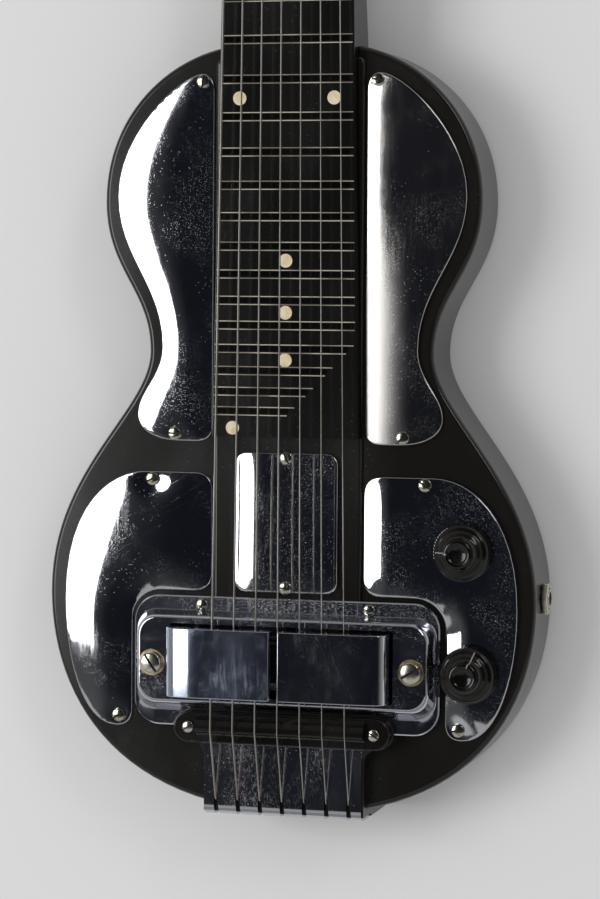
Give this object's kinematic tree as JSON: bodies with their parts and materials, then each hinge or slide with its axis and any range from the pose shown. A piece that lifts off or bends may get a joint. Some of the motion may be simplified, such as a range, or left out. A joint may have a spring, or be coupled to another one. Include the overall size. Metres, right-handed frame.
{
  "type": "lap steel guitar",
  "caption": "Lap steel guitar with a moulded black body and neck, chrome cover plates, horseshoe-magnet pickup, folded tailpiece and open worm-geared tuners.",
  "frame": {"origin": "on the flat back of the body, on the centreline, at the far end of the string scale", "axes": "+X towards the treble side, +Y along the neck towards the head, +Z out of the playing face"},
  "size_m": [0.2351, 0.7411, 0.0665],
  "materials": {
    "black_moulding": "polished black phenolic moulding",
    "black_trim": "semi-gloss black phenolic",
    "chrome_plate": "mirror chrome with light wear",
    "nickel_plate": "nickel plate, slightly dulled",
    "button_ivory": "aged ivory plastic on a nickel shaft",
    "screw_brass": "worn nickel over brass",
    "string_steel": "drawn steel wire",
    "pot_steel": "plain plated steel",
    "coil_wire": "enamelled copper wire"
  },
  "bodies": {
    "guitar": {"body": "black_moulding", "neck": "black_moulding", "nut": "black_trim", "bridge": "black_trim", "pickup_bobbin": "black_trim", "upper_plate_bass": "chrome_plate", "upper_plate_treble": "chrome_plate", "lower_plate_bass": "chrome_plate", "control_plate": "chrome_plate", "center_plate": "chrome_plate", "pickup_pan": "chrome_plate", "magnet_bass": "chrome_plate", "magnet_treble": "chrome_plate", "tailpiece": "chrome_plate", "bridge_screw_bass": "nickel_plate", "bridge_screw_treble": "nickel_plate", "output_jack": "nickel_plate", "output_jack_nut": "nickel_plate", "tuner_plate_bass": "nickel_plate", "tuner_plate_treble": "nickel_plate", "plate_screw_upper_bass_1": "nickel_plate", "plate_screw_upper_bass_2": "nickel_plate", "plate_screw_upper_treble_1": "nickel_plate", "plate_screw_upper_treble_2": "nickel_plate", "plate_screw_lower_bass_1": "nickel_plate", "plate_screw_lower_bass_2": "nickel_plate", "plate_screw_lower_treble_1": "nickel_plate", "plate_screw_lower_treble_2": "nickel_plate", "pickup_screw_bass": "screw_brass", "pickup_screw_treble": "screw_brass", "pickup_washer_bass": "screw_brass", "pickup_washer_treble": "screw_brass", "string_1": "string_steel", "string_2": "string_steel", "string_3": "string_steel", "string_4": "string_steel", "string_5": "string_steel", "string_6": "string_steel", "string_7": "string_steel", "volume_pot": "pot_steel", "tone_pot": "pot_steel", "pickup_coil": "coil_wire"},
    "volume_control": {"volume_knob": "black_trim", "volume_shaft": "pot_steel"},
    "tone_control": {"tone_knob": "black_trim", "tone_shaft": "pot_steel"},
    "tuner_button_1": {"tuner_worm_1": "button_ivory"},
    "tuner_post_1": {"tuner_gear_1": "nickel_plate"},
    "tuner_button_2": {"tuner_worm_2": "button_ivory"},
    "tuner_post_2": {"tuner_gear_2": "nickel_plate"},
    "tuner_button_3": {"tuner_worm_3": "button_ivory"},
    "tuner_post_3": {"tuner_gear_3": "nickel_plate"},
    "tuner_button_4": {"tuner_worm_4": "button_ivory"},
    "tuner_post_4": {"tuner_gear_4": "nickel_plate"},
    "tuner_button_5": {"tuner_worm_5": "button_ivory"},
    "tuner_post_5": {"tuner_gear_5": "nickel_plate"},
    "tuner_button_6": {"tuner_worm_6": "button_ivory"},
    "tuner_post_6": {"tuner_gear_6": "nickel_plate"},
    "tuner_button_7": {"tuner_worm_7": "button_ivory"},
    "tuner_post_7": {"tuner_gear_7": "nickel_plate"}
  },
  "joints": [
    {"name": "volume_turn", "type": "hinge", "parent": "guitar", "child": "volume_control", "pos_m": [0.0835, 0.0893, 0.05], "axis": [0, 0, 1], "range_deg": [-240, 60]},
    {"name": "tone_turn", "type": "hinge", "parent": "guitar", "child": "tone_control", "pos_m": [0.0865, 0.0338, 0.05], "axis": [0, 0, 1], "range_deg": [-120, 180]},
    {"name": "button_turn_1", "type": "hinge", "parent": "guitar", "child": "tuner_button_1", "pos_m": [-0.0265, 0.5994, 0.02105], "axis": [1, 0, 0], "continuous": true},
    {"name": "post_turn_1", "type": "hinge", "parent": "guitar", "child": "tuner_post_1", "pos_m": [-0.0265, 0.6065, 0.02105], "axis": [0, 0, 1], "continuous": true},
    {"name": "button_turn_2", "type": "hinge", "parent": "guitar", "child": "tuner_button_2", "pos_m": [-0.0265, 0.6254, 0.02105], "axis": [1, 0, 0], "continuous": true},
    {"name": "post_turn_2", "type": "hinge", "parent": "guitar", "child": "tuner_post_2", "pos_m": [-0.0265, 0.6325, 0.02105], "axis": [0, 0, 1], "continuous": true},
    {"name": "button_turn_3", "type": "hinge", "parent": "guitar", "child": "tuner_button_3", "pos_m": [-0.0265, 0.6514, 0.02105], "axis": [1, 0, 0], "continuous": true},
    {"name": "post_turn_3", "type": "hinge", "parent": "guitar", "child": "tuner_post_3", "pos_m": [-0.0265, 0.6585, 0.02105], "axis": [0, 0, 1], "continuous": true},
    {"name": "button_turn_4", "type": "hinge", "parent": "guitar", "child": "tuner_button_4", "pos_m": [-0.0265, 0.6774, 0.02105], "axis": [1, 0, 0], "continuous": true},
    {"name": "post_turn_4", "type": "hinge", "parent": "guitar", "child": "tuner_post_4", "pos_m": [-0.0265, 0.6845, 0.02105], "axis": [0, 0, 1], "continuous": true},
    {"name": "button_turn_5", "type": "hinge", "parent": "guitar", "child": "tuner_button_5", "pos_m": [0.0265, 0.6644, 0.02105], "axis": [1, 0, 0], "continuous": true},
    {"name": "post_turn_5", "type": "hinge", "parent": "guitar", "child": "tuner_post_5", "pos_m": [0.0265, 0.6715, 0.02105], "axis": [0, 0, 1], "continuous": true},
    {"name": "button_turn_6", "type": "hinge", "parent": "guitar", "child": "tuner_button_6", "pos_m": [0.0265, 0.6384, 0.02105], "axis": [1, 0, 0], "continuous": true},
    {"name": "post_turn_6", "type": "hinge", "parent": "guitar", "child": "tuner_post_6", "pos_m": [0.0265, 0.6455, 0.02105], "axis": [0, 0, 1], "continuous": true},
    {"name": "button_turn_7", "type": "hinge", "parent": "guitar", "child": "tuner_button_7", "pos_m": [0.0265, 0.6124, 0.02105], "axis": [1, 0, 0], "continuous": true},
    {"name": "post_turn_7", "type": "hinge", "parent": "guitar", "child": "tuner_post_7", "pos_m": [0.0265, 0.6195, 0.02105], "axis": [0, 0, 1], "continuous": true}
  ],
  "couplings": [
    {"joint": "post_turn_1", "follows": "button_turn_1", "ratio": -0.071429},
    {"joint": "post_turn_2", "follows": "button_turn_2", "ratio": -0.071429},
    {"joint": "post_turn_3", "follows": "button_turn_3", "ratio": -0.071429},
    {"joint": "post_turn_4", "follows": "button_turn_4", "ratio": -0.071429},
    {"joint": "post_turn_5", "follows": "button_turn_5", "ratio": -0.071429},
    {"joint": "post_turn_6", "follows": "button_turn_6", "ratio": -0.071429},
    {"joint": "post_turn_7", "follows": "button_turn_7", "ratio": -0.071429}
  ]
}
